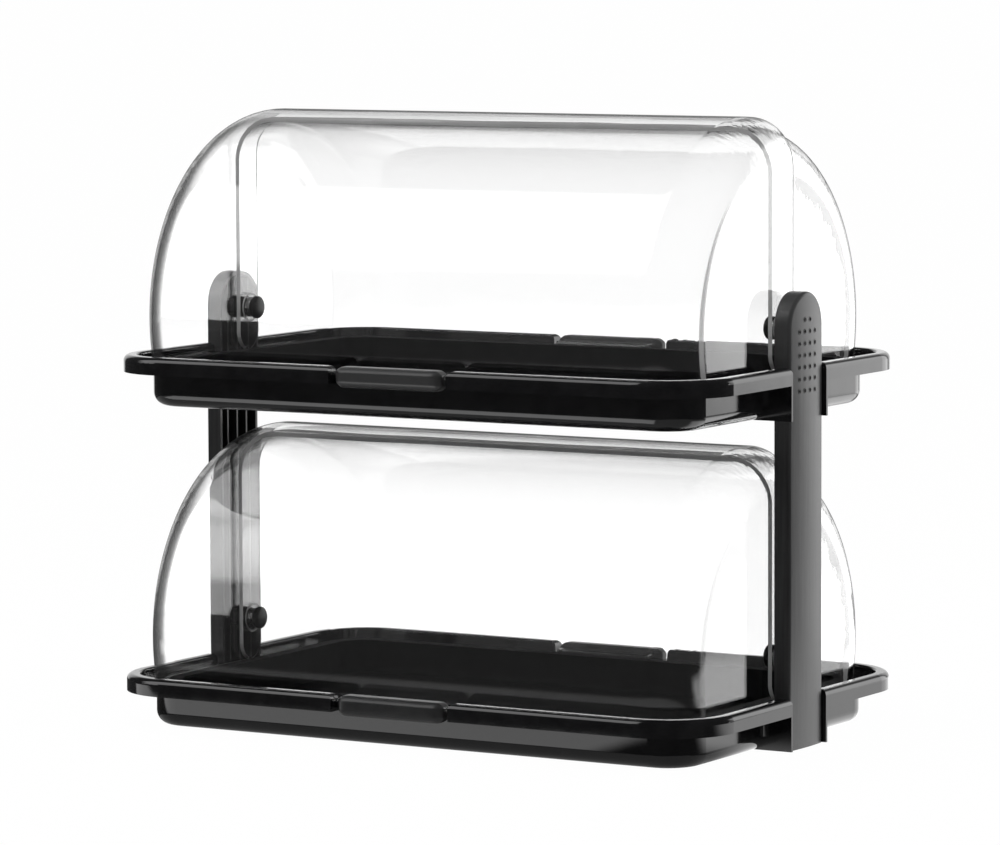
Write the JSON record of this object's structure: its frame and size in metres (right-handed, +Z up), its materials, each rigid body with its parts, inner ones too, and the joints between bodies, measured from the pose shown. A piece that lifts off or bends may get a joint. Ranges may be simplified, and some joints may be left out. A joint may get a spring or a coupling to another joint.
{
  "type": "countertop roll-top food display",
  "caption": "Two-tier countertop display with rectangular trays between two posts, each tray under two clear half covers that roll back over each other.",
  "frame": {"origin": "on the table under the middle of the display", "axes": "+X along the trays to the right, -Y towards the customer (the outer half covers), +Z up"},
  "size_m": [0.595, 0.398, 0.5335],
  "materials": {
    "tray_plastic": "polished black moulded plastic",
    "clear_plastic": "clear moulded plastic, polished",
    "post_plastic": "satin black moulded plastic",
    "grip_plastic": "matte dark grey moulded plastic",
    "knob_plastic": "satin black moulded plastic",
    "pan_plastic": "black moulded plastic with a satin gloss",
    "pin_steel": "plain turned steel"
  },
  "bodies": {
    "stand": {"left_post": "post_plastic", "right_post": "post_plastic", "lower_tray": "tray_plastic", "lower_left_pivot_pin": "pin_steel", "lower_left_pivot_knob": "knob_plastic", "lower_left_pivot_bush": "clear_plastic", "lower_left_cover_spacer": "clear_plastic", "lower_left_pivot_washer": "knob_plastic", "lower_left_post_screw_1": "pin_steel", "lower_left_post_screw_2": "pin_steel", "lower_right_pivot_pin": "pin_steel", "lower_right_pivot_knob": "knob_plastic", "lower_right_pivot_bush": "clear_plastic", "lower_right_cover_spacer": "clear_plastic", "lower_right_pivot_washer": "knob_plastic", "lower_right_post_screw_1": "pin_steel", "lower_right_post_screw_2": "pin_steel", "upper_tray": "tray_plastic", "upper_left_pivot_pin": "pin_steel", "upper_left_pivot_knob": "knob_plastic", "upper_left_pivot_bush": "clear_plastic", "upper_left_cover_spacer": "clear_plastic", "upper_left_pivot_washer": "knob_plastic", "upper_left_post_screw_1": "pin_steel", "upper_left_post_screw_2": "pin_steel", "upper_right_pivot_pin": "pin_steel", "upper_right_pivot_knob": "knob_plastic", "upper_right_pivot_bush": "clear_plastic", "upper_right_cover_spacer": "clear_plastic", "upper_right_pivot_washer": "knob_plastic", "upper_right_post_screw_1": "pin_steel", "upper_right_post_screw_2": "pin_steel"},
    "lower_front_half": {"lower_front_cover": "clear_plastic", "lower_front_grip": "grip_plastic"},
    "lower_rear_half": {"lower_rear_cover": "clear_plastic", "lower_rear_grip": "grip_plastic"},
    "lower_pan": {"lower_food_pan": "pan_plastic"},
    "upper_front_half": {"upper_front_cover": "clear_plastic", "upper_front_grip": "grip_plastic"},
    "upper_rear_half": {"upper_rear_cover": "clear_plastic", "upper_rear_grip": "grip_plastic"},
    "upper_pan": {"upper_food_pan": "pan_plastic"}
  },
  "joints": [
    {"name": "lower_front_cover_swing", "type": "hinge", "parent": "stand", "child": "lower_front_half", "pos_m": [0, 0, 0.0755], "axis": [1, 0, 0], "range_deg": [-92, 0]},
    {"name": "lower_rear_cover_swing", "type": "hinge", "parent": "stand", "child": "lower_rear_half", "pos_m": [0, 0, 0.0755], "axis": [1, 0, 0], "range_deg": [0, 92]},
    {"name": "lower_pan_lift", "type": "slide", "parent": "stand", "child": "lower_pan", "axis": [0, 0, 1], "range_m": [0, 0.025]},
    {"name": "upper_front_cover_swing", "type": "hinge", "parent": "stand", "child": "upper_front_half", "pos_m": [0, 0, 0.3555], "axis": [1, 0, 0], "range_deg": [-92, 0]},
    {"name": "upper_rear_cover_swing", "type": "hinge", "parent": "stand", "child": "upper_rear_half", "pos_m": [0, 0, 0.3555], "axis": [1, 0, 0], "range_deg": [0, 92]},
    {"name": "upper_pan_lift", "type": "slide", "parent": "stand", "child": "upper_pan", "axis": [0, 0, 1], "range_m": [0, 0.025]}
  ]
}
